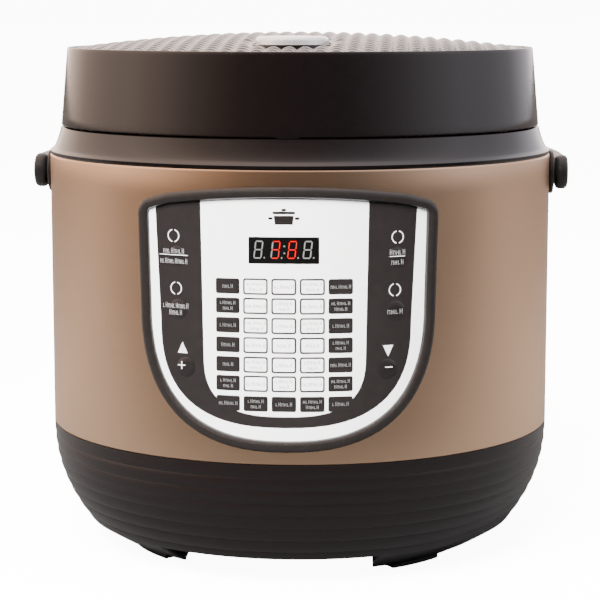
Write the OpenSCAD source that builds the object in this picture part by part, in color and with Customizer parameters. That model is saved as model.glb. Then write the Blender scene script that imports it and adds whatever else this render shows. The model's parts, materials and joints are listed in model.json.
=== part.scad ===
// Electric pressure cooker with a hinged lid, a release button and a carrying handle.
// Front is -Y, +Z is up, and the feet stand on z = 0.

/* [Body] */
// Outer diameter of the steel band
band_d = 290; // [240:1:350]
// Height of the steel band
band_h = 155.5; // [129:0.1:190]
// Wall of the steel band
band_t = 1.2; // [0.8:0.1:2]
// Height of the base below the steel band
base_h = 72; // [60:1:90]
// Wall of the plastic base
base_wall = 3; // [2:0.5:5]
// Height of the feet below the base's underside
foot_h = 15.5; // [12:0.5:18]
// Thickness of the rubber pads under the feet
pad_t = 3; // [2:0.5:5]
// Angle from the front to the inner end of a front foot
foot_from = 37; // [30:1:40]
// Angle that a foot covers
foot_span = 26; // [20:1:30]
// Angle by which the four feet are turned together
feet_turn = -6; // [-8:1:8]

/* [Collar] */
// Height of the collar above the steel band
collar_h = 15.7; // [13:0.1:20]
// How far the collar draws in from the steel band
collar_in = 6.5; // [4:0.5:9]
// Clearance between the pot's rim and the collar
rim_gap = 1.5; // [1:0.1:3]

/* [Pot and heater] */
// Gap between the steel band and the inner pot's wall
pot_gap = 35; // [30:0.5:55]
// Wall of the inner pot
pot_t = 2; // [1.5:0.1:3]
// Width of the pot's rim
pot_rim = 7.5; // [5:0.5:10]
// Height of the bay for the electrics between the bottom cover and the liner
bay_h = 36; // [34:0.5:46]
// How far the heating plate's edge stays inside the pot's wall
plate_gap = 22; // [18:0.5:36]
// Thickness of the heating plate
plate_t = 14; // [10:1:16]

/* [Lid] */
// Height of the lid's side wall
lid_side_h = 43.1; // [40:0.1:55]
// Wall of the lid
lid_wall = 2.5; // [2:0.1:4]
// Draught of the lid's side wall from its lower edge to its rim
lid_draught = 3.8; // [2:0.1:6]
// Gap between the collar and the lid
seam_gap = 1; // [0.6:0.1:2]
// Rise of the domed lid top above its edge
dome_h = 9.3; // [5:0.1:14]
// Diameter of the release button
button_d = 40; // [33:0.5:48]
// Distance from the latch's pivot to the release button's axis
lever_l = 45.5; // [40:0.5:52]
// Travel of the release button
button_travel = 4; // [2:0.5:5]
// Distance of the steam valve's axis inside the lid's edge
valve_inset = 58.3; // [52:0.1:64]

/* [Handle] */
// Gap between the steel band and the inside of the handle's arms
arm_gap = 3.2; // [2.8:0.1:6]
// Distance from the steel band to the outside of the stowed handle
handle_gap = 41; // [38:0.5:60]
// Thickness of the handle
handle_t = 7.8; // [6:0.1:9]
// Height of the handle's section
handle_section_h = 20; // [14:1:22]
// Radius of the handle's pivot pins
pivot_r = 4; // [3:0.1:5]

/* [Panel] */
// Half width of the control panel's bezel along the steel band
bezel_half_w = 80.5; // [72:0.5:96]
// Distance of the bezel's upper edge below the band's upper edge
bezel_drop = 6.5; // [4:0.5:14]
// Height of the bezel's lower edge above the band's lower edge
bezel_low = 7.5; // [5:0.5:20]
// Width of the bezel
bezel_w = 6; // [4:0.5:8]
// How far the bezel stands out of the band
bezel_proud = 5; // [3:0.5:7]
// Diameter of a key
key_d = 11; // [8:0.1:13.5]
// Travel of a key
key_travel = 0.5; // [0.2:0.1:0.8]

/* [Fits] */
// Radial running clearance of pins in their holes
run_fit = 0.05; // [0.02:0.01:0.1]
// Clearance between pieces that slide or lift past each other
slide_gap = 0.4; // [0.3:0.05:0.6]

/* [Hidden] */
$fn = 96;
fine = 160;
small = 32;

band_r = band_d / 2;
band_z = base_h;
band_top = band_z + band_h;
lip_h = 2.5;
collar_top = band_top + collar_h;
collar_r = band_r - collar_in;
pot_r = band_r - pot_gap;
plate_r = pot_r - plate_gap;
rim_r = pot_r + pot_rim;
collar_inner_r = rim_r + rim_gap;
lid_z = collar_top + seam_gap;
lid_r = collar_r - 0.2;
lid_top_r = lid_r - lid_draught;
lid_rim_z = lid_z + lid_side_h;
plate_inset = 1.1;
dome_edge_r = lid_top_r - 1;
dome_edge_z = lid_rim_z - plate_inset;
dome_r = (pow(dome_edge_r, 2) + pow(dome_h, 2)) / (2 * dome_h);
dome_apex = dome_edge_z + dome_h;
base_floor_z = foot_h;
cover_t = 2.5;
liner_rise = 12;
pot_floor_z = base_floor_z + cover_t + bay_h + liner_rise + plate_t;
arm_x = band_r + arm_gap;
handle_half_w = arm_x + handle_t;
handle_reach = band_r + handle_gap;
hook_y = band_r - 17.5;
button_y = hook_y - lever_l;
valve_y = lid_r - valve_inset;
bezel_top = band_h - bezel_drop;
front_reach = band_r + bezel_proud;
// The box's middle lies on the origin, so the body's axis stands a little in front of it.
axis_y = (front_reach - handle_reach) / 2;

// Height of the dome's outer surface at distance r from the axis
function dome_z(r) = dome_apex - dome_r + sqrt(dome_r * dome_r - r * r);
// Points of an arc in the plane
function arc(cx, cy, r, a0, a1, steps) =
    [for (i = [0:steps]) let (a = a0 + (a1 - a0) * i / steps) [cx + r * cos(a), cy + r * sin(a)]];
// Half width of a superellipse with half axes a and b at the parameter t
function super_point(a, b, n, t) =
    [a * sign(cos(t)) * pow(abs(cos(t)), 2 / n), b * sign(sin(t)) * pow(abs(sin(t)), 2 / n)];
// Place on the flat drawing seen from the front of a point that lies s along the band
function along(s, r) = r * sin(s / r * 180 / PI);

module at_axis() translate([0, axis_y, 0]) children();
module ring(r_out, r_in, h) difference() {
    cylinder(r = r_out, h = h, $fn = fine);
    translate([0, 0, -1]) cylinder(r = r_in, h = h + 2, $fn = fine);
}
module pipe(r_out, r_in, h, n = $fn) difference() {
    cylinder(r = r_out, h = h, $fn = n);
    translate([0, 0, -1]) cylinder(r = r_in, h = h + 2, $fn = n);
}
module block(size, centre) translate(centre) cube(size, center = true);
// Round tube that follows the points, as one closed solid
module swept(points, r, sides = 8, up = [0, 0, 1]) {
    n = len(points);
    function unit(v) = v / norm(v);
    function tangent(i) = unit(points[min(i + 1, n - 1)] - points[max(i - 1, 0)]);
    rings = [for (i = [0:n - 1]) let (
        t = tangent(i), u = unit(cross(up, t)), v = cross(t, u))
        for (k = [0:sides - 1]) points[i] + r * (cos(360 * k / sides) * u + sin(360 * k / sides) * v)];
    walls = [for (i = [0:n - 2]) for (k = [0:sides - 1])
        let (a = i * sides + k, b = i * sides + (k + 1) % sides) [a, b, b + sides, a + sides]];
    ends = [[for (k = [sides - 1:-1:0]) k], [for (k = [0:sides - 1]) (n - 1) * sides + k]];
    polyhedron(rings, [for (w = concat(walls, ends)) [for (i = [len(w) - 1:-1:0]) w[i]]], convexity = 6);
}
// Compression spring that stands on z = 0
module coil(r, wire, turns, h) {
    steps = 16;
    lift = h - 2 * wire;
    swept([for (i = [0:turns * steps]) let (a = 360 * i / steps)
        [r * cos(a), r * sin(a), wire + lift * i / (turns * steps)]], wire);
}

// ---- Base ----
// Outer outline of the bowl: radius at a height, drawn in towards the floor
bowl_drop = base_h - base_floor_z;
bowl_in = 20;
function bowl_r(z) = band_r - bowl_in * pow((base_h - z) / bowl_drop, 2.25);
foot_r = bowl_r(base_floor_z) - 23;
function foot_outer_r(z) = foot_r + (bowl_r(base_floor_z) - foot_r) * pow(z / base_floor_z, 0.85);
bowl_steps = 14;
bowl_levels = [for (i = [0:bowl_steps]) base_floor_z + bowl_drop * i / bowl_steps];
cover_r = bowl_r(base_floor_z) - 12;
tongue_h = 8;
foot_angles = [foot_from + foot_span / 2, 180 - foot_from - foot_span / 2];
boss_r = 5;
screw_angles = [0, 90, 180, 270];
boss_ring = cover_r - 12;
inlet_w = 30;
inlet_h = 22;
inlet_z = base_h - 26;
inlet_depth = 22;
inlet_y = bowl_r(inlet_z) - 1;
foot_depth = 17;
foot_step = 2;
module each_foot() for (side = [-1, 1]) for (a = foot_angles)
    rotate([0, 0, side * a + feet_turn - 90]) children();
module foot_block() rotate_extrude(angle = foot_span, start = -foot_span / 2, $fn = fine)
    polygon(concat([[foot_r - foot_depth + foot_depth * pad_t / foot_h, pad_t]],
        [for (i = [0:4]) let (z = pad_t + (foot_h + 1 - pad_t) * i / 4) [foot_outer_r(z) - foot_step, z]],
        [[cover_r + 1, foot_h + 1], [cover_r + 1, foot_h - 0.2],
         [foot_r - 1, foot_h - 0.2]]));
module base_housing() color("#2b2424") at_axis() {
    difference() {
        union() {
            rotate_extrude($fn = fine) polygon(concat(
                [[cover_r + 0.3, base_floor_z]], [for (z = bowl_levels) [bowl_r(z), z]],
                [[band_r - band_t - 0.2, base_h], [band_r - band_t - 0.2, base_h + tongue_h],
                 [band_r - band_t - 0.2 - base_wall, base_h + tongue_h]],
                [for (i = [bowl_steps - 1:-1:1]) [bowl_r(bowl_levels[i]) - base_wall, bowl_levels[i]]],
                [[bowl_r(bowl_levels[1]) - base_wall - 2, base_floor_z + cover_t + base_wall],
                 [cover_r - 4, base_floor_z + cover_t + base_wall],
                 [cover_r - 4, base_floor_z + cover_t + 0.2], [cover_r + 0.3, base_floor_z + cover_t + 0.2]]));
            each_foot() foot_block();
            for (a = screw_angles) rotate([0, 0, a]) translate([boss_ring, 0, base_floor_z + cover_t + 0.2])
                cylinder(r = boss_r, h = base_wall + 8, $fn = small);
            for (a = screw_angles) rotate([0, 0, a])
                block([12, 4, base_wall - 0.2], [cover_r - 7, 0, base_floor_z + cover_t + base_wall / 2 + 0.1]);
        }
        for (a = screw_angles) rotate([0, 0, a]) translate([boss_ring, 0, base_floor_z])
            cylinder(r = 1.6, h = 12, $fn = small);
        block([inlet_w + 0.6, 30, inlet_h + 0.6], [0, inlet_y, inlet_z]);
    }
}
module bottom_cover() color("#1f1b1b") at_axis() difference() {
    translate([0, 0, base_floor_z]) cylinder(r = cover_r, h = cover_t, $fn = fine);
    for (a = screw_angles) rotate([0, 0, a]) translate([boss_ring, 0, base_floor_z - 1])
        cylinder(r = 1.8, h = cover_t + 2, $fn = small);
    for (x = [-40:10:40]) block([4, 60, cover_t + 2], [x, 0, base_floor_z + cover_t / 2]);
}
module foot_pads() color("#141414") at_axis()
    each_foot() rotate_extrude(angle = foot_span - 6, start = -foot_span / 2 + 3, $fn = fine)
        polygon([[foot_r - 12, 0], [foot_r - 1, 0], [foot_r - 1, pad_t], [foot_r - 12, pad_t]]);
module bottom_screws() color("silver") at_axis() for (a = screw_angles)
    rotate([0, 0, a]) translate([boss_ring, 0, base_floor_z]) {
        translate([0, 0, -2]) cylinder(r = 3.4, h = 2, $fn = small);
        translate([0, 0, -0.5]) cylinder(r = 1.5, h = 11, $fn = small);
    }

// ---- Steel band and panel outlines ----
bezel_mid = band_z + bezel_top - 64;
corner_r = 9;
top_bow = 7;
panel_steps = 40;
// Outline of the bezel shrunk by an inset: corners at the top, one long curve below
function panel_outline(inset, r) = let (
    a = bezel_half_w - inset, top = band_z + bezel_top - inset, b = bezel_mid - band_z - bezel_low - inset,
    k = max(corner_r - inset, 3), shoulder = top - top_bow - k, wide = a + 1.2) concat(
    [for (i = [0:panel_steps]) let (p = super_point(a, b, 2.45, 180 + 180 * i / panel_steps))
        [along(p[0], r), bezel_mid + p[1]]],
    [for (q = arc(wide - k, shoulder, k, 0, 78, 5)) [along(q[0], r), q[1]]],
    [for (i = [1:9]) let (s = (wide - k) * (1 - i / 5)) [along(s, r), top - top_bow * pow(s / wide, 2)]],
    [for (q = arc(k - wide, shoulder, k, 102, 180, 5)) [along(q[0], r), q[1]]]);
module toward_front(depth = 60) translate([0, -band_r + 45, 0]) rotate([90, 0, 0])
    linear_extrude(depth) children();
module curved(r_out, r_in) intersection() {
    translate([0, 0, band_z]) difference() {
        cylinder(r = r_out, h = band_h, $fn = fine);
        translate([0, 0, -1]) cylinder(r = r_in, h = band_h + 2, $fn = fine);
    }
    children();
}
film_r = band_r + 1.8;
key_places = [[21, 39.4], [21.9, 67.4], [26.3, 98]];
key_centres = [for (side = [-1, 1]) for (k = key_places) [side * (bezel_half_w - k[0]), bezel_top - k[1]]];
window_w = 36.4;
window_h = 13.4;
window_z = band_z + bezel_top - 35.2;
module on_band(s, z) translate([0, 0, band_z + z]) rotate([0, 0, s / film_r * 180 / PI - 90])
    rotate([0, 90, 0]) children();
module key_holes(extra) for (k = key_centres) on_band(k[0], k[1])
    translate([0, 0, band_r - 12]) cylinder(r = key_d / 2 + extra, h = 20, $fn = small);
module window_cut(extra) translate([0, -band_r, window_z])
    cube([window_w + 2 * extra, 60, window_h + 2 * extra], center = true);
pivot_z = band_top - 11.7;
boss_d = 26;
module steel_band() color("#b09a86") at_axis() difference() {
    translate([0, 0, band_z]) ring(band_r, band_r - band_t, band_h);
    toward_front() polygon(panel_outline(bezel_w + 1, band_r));
    translate([0, 0, pivot_z]) rotate([0, 90, 0]) cylinder(r = pivot_r + 0.2, h = band_d + 10, center = true, $fn = small);
}
module control_bezel() color("#3c3637") at_axis() curved(band_r + bezel_proud, band_r + 0.05) difference() {
    toward_front() polygon(panel_outline(0, band_r + 1));
    toward_front(70) polygon(panel_outline(bezel_w, band_r + 1));
}
module panel_carrier() color("#1c1a1b") at_axis() difference() {
    curved(film_r - 0.8, band_r - band_t - 3)
        toward_front() polygon(panel_outline(bezel_w + 1.3, band_r));
    key_holes(0.9);
    window_cut(0.2);
}
module panel_film() color("#e8e8ea") at_axis() difference() {
    curved(film_r, film_r - 0.8) toward_front() polygon(panel_outline(bezel_w + 0.1, band_r + 1));
    key_holes(0.4);
    window_cut(0.1);
}
module display_window() color("#301010") at_axis() intersection() {
    curved(film_r - 0.1, film_r - 0.9) toward_front() polygon(panel_outline(bezel_w, band_r + 1));
    window_cut(0);
}
display_y = film_r - 1.5;
module display_module() color("#101010") at_axis()
    block([window_w - 1, 7, window_h - 1], [0, -(display_y - 5), window_z]);
board_y = band_r - 23;
key_post_r = band_r - 5.5;
board_w = 2 * (bezel_half_w - 16.5);
board_h = 84;
board_mid = band_z + bezel_top - 67;
module control_board() color("#1d5a34") at_axis() difference() {
    block([board_w, 1.6, board_h], [0, -board_y, board_mid]);
    for (x = [-30, 30]) translate([x, -board_y, board_mid - 34]) rotate([90, 0, 0])
        cylinder(r = 1.6, h = 10, center = true, $fn = small);
}
module tact_switches() color("#4a4a4c") at_axis() {
    for (k = key_centres) let (a = abs(k[0]) / film_r * 180 / PI,
        depth = key_post_r * cos(a) - 2 * sin(a) - key_travel - 0.15 - board_y - 0.8)
        block([6, depth, 6], [along(k[0], band_r - 10), -board_y - 0.8 - depth / 2, band_z + k[1]]);
    block([window_w - 6, display_y - board_y - 9.3, 8],
        [0, -board_y - 0.8 - (display_y - board_y - 9.3) / 2, window_z]);
}
module key(index) color("#2a2627") at_axis() on_band(key_centres[index][0], key_centres[index][1]) {
    translate([0, 0, band_r - 1.2]) cylinder(r = key_d / 2, h = 4, $fn = small);
    translate([0, 0, key_post_r]) cylinder(r = 2, h = 5, $fn = small);
}
module key_warm() key(0);
module key_delay() key(1);
module key_plus() key(2);
module key_start() key(3);
module key_menu() key(4);
module key_minus() key(5);

// ---- Collar, hinge seat and striker ----
hinge_z = lid_z + 5.3;
hinge_y = lid_r + 8.7;
hinge_r = 3;
ear_r = 7;
ear_x = 30;
ear_w = 10;
lug_x = 17;
lug_w = 12;
spring_x = 9;
hook_w = 12;
slot_low = collar_top - 11;
nose_z = slot_low + 1;
nose_t = 3;
striker_t = 1.8;
collar_low = band_top - 6;
liner_r = pot_r + 5;
liner_t = 1;
rim_z = collar_top - 6;
ledge_z = rim_z - liner_t;
pocket_w = hook_w + 6;
pocket_d = 13;
pocket_y = hook_y + 1.5;
module collar_profile() polygon(concat(
    [[band_r - band_t - 0.2, collar_low], [band_r - band_t - 0.2, band_top + 0.05],
     [band_r, band_top + 0.05], [band_r, band_top + lip_h]],
    [for (i = [1:6]) let (u = i / 6) [band_r - collar_in * pow(u, 0.65), band_top + lip_h + (collar_h - lip_h) * u]],
    [[collar_inner_r, collar_top], [collar_inner_r, ledge_z], [liner_r + 0.3, ledge_z],
     [liner_r + 0.3, ledge_z - 3], [collar_inner_r + 3, ledge_z - 3], [collar_inner_r + 3, collar_top - 4],
     [collar_r - 3, collar_top - 4], [band_r - 5, collar_low]]));
module top_collar() color("#2c2525") at_axis() difference() {
    union() {
        difference() {
            rotate_extrude($fn = fine) collar_profile();
            block([pocket_w, pocket_d, 40], [0, -pocket_y, slot_low + 20]);
        }
        difference() {
            block([pocket_w + 4, pocket_d + 3, 9], [0, -(pocket_y - 1.5), slot_low + 2.5]);
            block([pocket_w, pocket_d, 20], [0, -pocket_y, slot_low + 10]);
        }
        for (side = [-1, 1]) {
            block([ear_w, 2 * ear_r + 6, 14], [side * ear_x, hinge_y - 3, collar_top - 7]);
            block([ear_w, 2 * ear_r, 8], [side * ear_x, hinge_y, hinge_z - 4]);
            translate([side * ear_x, hinge_y, hinge_z]) rotate([0, 90, 0])
                cylinder(r = ear_r, h = ear_w, center = true, $fn = small);
        }
        block([2 * ear_x + ear_w, 12, 6], [0, hinge_y - 1, hinge_z - 17]);
    }
    translate([0, hinge_y, hinge_z]) rotate([0, 90, 0])
        cylinder(r = hinge_r + 0.02, h = 2 * ear_x + ear_w + 4, center = true, $fn = small);
    translate([0, 0, ledge_z]) cylinder(r = collar_inner_r, h = 80, $fn = fine);
    translate([0, 0, ledge_z - 60]) cylinder(r = liner_r + 0.3, h = 80, $fn = fine);
    translate([0, 0, pivot_z]) rotate([0, 90, 0]) cylinder(r = pivot_r + 0.2, h = band_d + 10, center = true, $fn = small);
}
module hinge_pin() color("silver") at_axis() translate([0, hinge_y, hinge_z]) rotate([0, 90, 0])
    cylinder(r = hinge_r, h = 2 * ear_x + ear_w + 3, center = true, $fn = small);
module hinge_spring() color("#8a8c90") at_axis() translate([-spring_x + 1, hinge_y, hinge_z]) rotate([0, 90, 0])
    coil(hinge_r + 1.6, 0.8, 5, 2 * spring_x - 2);
module striker() color("silver") at_axis()
    block([pocket_w, striker_t, 5], [0, -(pocket_y - pocket_d / 2 + striker_t / 2), nose_z + nose_t + 0.5 + 2.5]);
// ---- Handle mounts ----
boss_out = 2.2;
module each_side() for (side = [0, 1]) mirror([side, 0, 0]) translate([0, 0, pivot_z]) rotate([0, 90, 0]) children();
module handle_mounts() color("#1b1819") at_axis() each_side() difference() {
    translate([0, 0, band_r - 3]) cylinder(r = boss_d / 2, h = boss_out + 3, $fn = 48);
    translate([0, 0, band_r - 4]) cylinder(r = pivot_r + 0.02, h = boss_out + 8, $fn = 48);
    rotate([0, -90, 0]) translate([0, 0, -boss_d]) cylinder(r = band_r + 0.05, h = 2 * boss_d, $fn = fine);
}
module handle_pins() color("silver") at_axis() each_side() {
    translate([0, 0, band_r - 8]) cylinder(r = pivot_r, h = handle_half_w - 2 - (band_r - 8), $fn = 48);
    translate([0, 0, band_r - 11]) cylinder(r = pivot_r + 2, h = 3, $fn = 48);
}
handle_n = 2.6;
handle_steps = 48;
module handle_half_plan() polygon(concat(
    [for (i = [0:handle_steps]) super_point(handle_half_w, handle_reach, handle_n, 180 * i / handle_steps)],
    [for (i = [handle_steps:-1:0])
        super_point(arm_x, handle_reach - handle_t - 2, handle_n, 180 * i / handle_steps)]));
module carry_handle() color("#161415") at_axis() difference() {
    union() {
        translate([0, 0, pivot_z - handle_section_h / 2]) linear_extrude(handle_section_h) handle_half_plan();
        each_side() translate([0, 0, arm_x]) cylinder(r = handle_section_h / 2, h = handle_t, $fn = 48);
    }
    each_side() translate([0, 0, arm_x - 2]) cylinder(r = pivot_r + run_fit, h = handle_t + 4, $fn = 48);
}
module handle_caps() color("#161415") at_axis() each_side()
    translate([0, 0, handle_half_w - 1.5]) cylinder(r = pivot_r + run_fit, h = 1.5, $fn = 48);

// ---- Liner, heater and pot ----
liner_floor = pot_floor_z - plate_t - liner_rise;
liner_hole_r = 6;
sensor_r = 17;
plate_z = pot_floor_z - plate_t;
element_r = plate_r - 24;
element_ends = [70, 110];
element_leg_r = 3;
element_leg = 16;
pot_corner = 14;
module inner_liner() color("#c9cbcd") at_axis() difference() {
    rotate_extrude($fn = fine) polygon([[liner_hole_r, liner_floor], [liner_r, liner_floor],
        [liner_r, ledge_z], [collar_inner_r - 0.3, ledge_z], [collar_inner_r - 0.3, rim_z],
        [liner_r - liner_t, rim_z], [liner_r - liner_t, liner_floor + liner_t],
        [liner_hole_r, liner_floor + liner_t]]);
    for (a = element_ends) rotate([0, 0, a]) translate([element_r, 0, liner_floor - 1])
        cylinder(r = element_leg_r + 1, h = 4, $fn = small);
}
module heating_plate() color("#b9bcc0") at_axis() difference() {
    translate([0, 0, plate_z]) cylinder(r = plate_r, h = plate_t, $fn = fine);
    translate([0, 0, plate_z - 1]) cylinder(r = sensor_r + 1, h = plate_t + 2, $fn = fine);
    translate([0, 0, plate_z]) rotate_extrude($fn = fine) translate([element_r, 0]) circle(r = 4.3, $fn = small);
}
module heating_element() color("#6d6f72") at_axis() translate([0, 0, plate_z]) {
    rotate_extrude(angle = 320, start = 110, $fn = fine) translate([element_r, 0]) circle(r = 4, $fn = small);
    for (a = element_ends) rotate([0, 0, a]) translate([element_r, 0, -element_leg])
        cylinder(r = element_leg_r, h = element_leg, $fn = small);
}
module plate_supports() color("#e6e2d8") at_axis() for (a = [30:120:270]) rotate([0, 0, a])
    translate([plate_r - 9, 0, liner_floor + liner_t])
        cylinder(r = 4.5, h = plate_z - liner_floor - liner_t, $fn = small);
module sensor_cap() color("#d5d7da") at_axis() difference() {
    translate([0, 0, pot_floor_z - 12]) cylinder(r = sensor_r, h = 12, $fn = 64);
    translate([0, 0, pot_floor_z - 13]) cylinder(r = sensor_r - 2, h = 11, $fn = 64);
}
module sensor_spring() color("#9a9ca0") at_axis()
    translate([0, 0, liner_floor + 1.2]) coil(10, 0.9, 5, pot_floor_z - 2.4 - liner_floor - 1.4);
module inner_pot() color("#7d7f82") at_axis() rotate_extrude($fn = fine) polygon(concat(
    [[0, pot_floor_z]], arc(pot_r - pot_corner, pot_floor_z + pot_corner, pot_corner, -90, 0, 8),
    [[pot_r, rim_z], [rim_r, rim_z], [rim_r, rim_z + pot_t], [pot_r - pot_t, rim_z + pot_t]],
    [for (p = arc(pot_r - pot_corner, pot_floor_z + pot_corner, pot_corner - pot_t, 0, -90, 8)) p],
    [[0, pot_floor_z + pot_t]]));

// ---- Electrics in the base ----
board_z = base_floor_z + cover_t + 7;
module power_board() color("#1d5a34") at_axis() difference() {
    block([96, 62, 1.6], [0, -50, board_z]);
    for (x = [-43, 43]) for (y = [-76, -24]) translate([x, y, board_z]) cylinder(r = 1.7, h = 5, center = true, $fn = small);
}
module power_components() color("#3a3a3c") at_axis() translate([0, 0, board_z + 0.8]) {
    block([22, 18, 18], [-30, -40, 9]);
    block([16, 12, 15], [-4, -38, 7.5]);
    for (x = [14, 28]) translate([x, -40, 0]) cylinder(r = 5, h = 16, $fn = small);
    block([40, 9, 12], [-14, -68, 6]);
    block([14, 3, 16], [26, -66, 8]);
}
module thermal_fuse() color("#d8c9a8") at_axis() translate([-30, 40, liner_floor - 2.7]) rotate([0, 90, 0])
    cylinder(r = 2.6, h = 26, center = true, $fn = small);
wire_r = 1.3;
pin_gap = 7;
pin_len = 24;
pin_end = inlet_y - 2 - pin_len;
function bend(a, b, c, d, n = 12) = [for (i = [0:n]) let (t = i / n, u = 1 - t)
    u * u * u * a + 3 * u * u * t * b + 3 * u * t * t * c + t * t * t * d];
module heater_wires() color("#b03020") at_axis() for (side = [-1, 1]) {
    end_x = side * element_r * sin(20);
    end_y = element_r * cos(20);
    swept(bend([side * pin_gap, pin_end, inlet_z], [side * pin_gap, pin_end - 24, inlet_z],
        [end_x + side * 8, end_y + 14, plate_z - 24], [end_x + side * 5, end_y, plate_z - 14]), wire_r,
        up = [0.2, 0, 1]);
    swept(bend([side * pin_gap, pin_end, inlet_z - 3], [side * 12, inlet_y - 60, inlet_z - 14],
        [side * 52, 20, board_z + 6], [side * 40, -19, board_z + 4]), wire_r, up = [0.2, 0, 1]);
}
socket_w = 25;
socket_h = 16.5;
socket_depth = 16;
module mains_inlet() color("#111111") at_axis() difference() {
    block([inlet_w, inlet_depth, inlet_h], [0, inlet_y - inlet_depth / 2, inlet_z]);
    block([socket_w, socket_depth * 2, socket_h], [0, inlet_y, inlet_z]);
    inlet_blades();
}
module inlet_blades() for (p = [[-pin_gap, -1], [pin_gap, -1], [0, 4]])
    block([2, pin_len, 4], [p[0], inlet_y - 2 - pin_len / 2, inlet_z + p[1]]);
module inlet_pins() color("silver") at_axis() inlet_blades();
// ---- Condensate cup ----
cup_w = 60;
cup_d = 24;
cup_h = 46;
cup_z = band_z + 62;
module cup_holder() color("#201c1d") at_axis() difference() {
    block([cup_w + 8, 12, cup_h + 8], [0, band_r - 4, cup_z + cup_h / 2]);
    translate([0, 0, cup_z - 20]) cylinder(r = band_r + 0.05, h = cup_h + 60, $fn = fine);
}
module condensate_cup() color("#d9dde0") at_axis() difference() {
    block([cup_w, cup_d, cup_h], [0, band_r + 2.4 + cup_d / 2, cup_z + cup_h / 2]);
    block([cup_w - 4, cup_d - 4, cup_h], [0, band_r + 2.4 + cup_d / 2, cup_z + cup_h / 2 + 2]);
}

// ---- Lid ----
function lid_side_r(z) = lid_r - lid_draught * (z - lid_z) / lid_side_h;
frame_t = 3;
frame_z = lid_z + 0.6;
corner = 3;
ring_r = button_d / 2 + 5;
valve_r = 21;
well_floor = lid_rim_z - 17;
module lid_cover() color("#241e1e") at_axis() difference() {
    union() {
        rotate_extrude($fn = fine) polygon(concat(
            [[lid_r - lid_wall, lid_z], [lid_r, lid_z]],
            arc(lid_top_r - corner + 0.3, lid_rim_z - corner, corner, 0, 90, 4),
            [[dome_edge_r + 0.2, lid_rim_z], [dome_edge_r + 0.2, dome_edge_z - lid_wall - 0.2],
             [dome_edge_r - 4, dome_edge_z - lid_wall - 0.2], [dome_edge_r - 4, dome_edge_z - lid_wall - 2.2],
             [lid_top_r - lid_wall, dome_edge_z - lid_wall - 2.2]]));
        for (side = [-1, 1]) hull() {
            translate([side * lug_x, hinge_y, hinge_z]) rotate([0, 90, 0])
                cylinder(r = ear_r - 0.5, h = lug_w, center = true, $fn = small);
            block([lug_w, 4, 14], [side * lug_x, lid_side_r(hinge_z + 10) - 1.5, hinge_z + 10]);
        }
    }
    translate([0, hinge_y, hinge_z]) rotate([0, 90, 0])
        cylinder(r = hinge_r + run_fit, h = 2 * ear_x + 60, center = true, $fn = small);
    for (side = [-1, 1]) translate([side * ear_x, hinge_y, hinge_z]) rotate([0, 90, 0])
        cylinder(r = ear_r + 1, h = ear_w + 1, center = true, $fn = small);
}
module dome_section(drop, r_edge) polygon(concat(
    [for (i = [0:12]) let (r = r_edge * i / 12) [r, dome_z(r) - drop]],
    [for (i = [12:-1:0]) let (r = r_edge * i / 12) [r, dome_z(r) - drop - lid_wall]]));
module lid_top_plate() color("#2a2323") at_axis() difference() {
    union() {
        rotate_extrude($fn = fine) dome_section(0, dome_edge_r - 0.1);
        translate([0, valve_y, well_floor]) cylinder(r = valve_r + 2.4, h = dome_z(valve_y) - well_floor - lid_wall, $fn = 64);
    }
    translate([0, -button_y, ring_floor]) cylinder(r = ring_r + 0.1, h = 60, $fn = 64);
    translate([0, valve_y, well_floor + 2]) cylinder(r = valve_r + slide_gap, h = 60, $fn = 64);
    translate([0, valve_y, well_floor - 1]) cylinder(r = 9, h = 10, $fn = 64);
}
button_top = dome_z(button_y) + 6;
stem_r = 2.5;
latch_z = frame_z + frame_t + 15;
ring_floor = latch_z + 4.5;
latch_arm_t = 3;
stem_low = latch_z + latch_arm_t + 0.7;
module button_ring() color("#bfc2c6") at_axis() translate([0, -button_y, 0]) difference() {
    translate([0, 0, ring_floor]) cylinder(r = ring_r, h = dome_z(button_y) - ring_floor - 0.4, $fn = 64);
    translate([0, 0, ring_floor + 2]) cylinder(r = button_d / 2 + slide_gap, h = 60, $fn = 64);
    translate([0, 0, ring_floor - 1]) cylinder(r = stem_r + 0.6, h = 10, $fn = 64);
}
button_skirt = dome_z(button_y) - ring_floor - 2 - button_travel - 0.3;
module release_button() color("#d8dadd") at_axis() translate([0, -button_y, 0]) {
    difference() {
        translate([0, 0, button_top - 6 - button_skirt]) cylinder(r = button_d / 2, h = 6 + button_skirt, $fn = 64);
        translate([0, 0, button_top - 7 - button_skirt]) cylinder(r = button_d / 2 - 2.5, h = 4 + button_skirt, $fn = 64);
    }
    translate([0, 0, stem_low]) cylinder(r = stem_r, h = button_top - 2 - stem_low, $fn = 64);
}
module button_spring() color("#9a9ca0") at_axis()
    translate([0, -button_y, ring_floor + 2.2]) coil(8, 0.8, 5, button_top - 3.4 - ring_floor - 2.2);
latch_r = 1.5;
hook_t = 3.5;
module latch_hook() color("#8d9094") at_axis() difference() {
    union() {
        translate([0, -hook_y, latch_z]) rotate([0, 90, 0]) cylinder(r = 3.5, h = hook_w, center = true, $fn = small);
        translate([-hook_w / 2, -hook_y, latch_z]) cube([hook_w, hook_y - button_y + 5, latch_arm_t]);
        translate([-hook_w / 2, -hook_y - hook_t, nose_z]) cube([hook_w, hook_t, latch_z - nose_z]);
        translate([-hook_w / 2, -hook_y - 1, nose_z])
            cube([hook_w, hook_y + 1 - (pocket_y - pocket_d / 2 + striker_t + slide_gap), nose_t]);
    }
    translate([0, -hook_y, latch_z]) rotate([0, 90, 0])
        cylinder(r = latch_r + run_fit, h = hook_w + 2, center = true, $fn = small);
}
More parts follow.
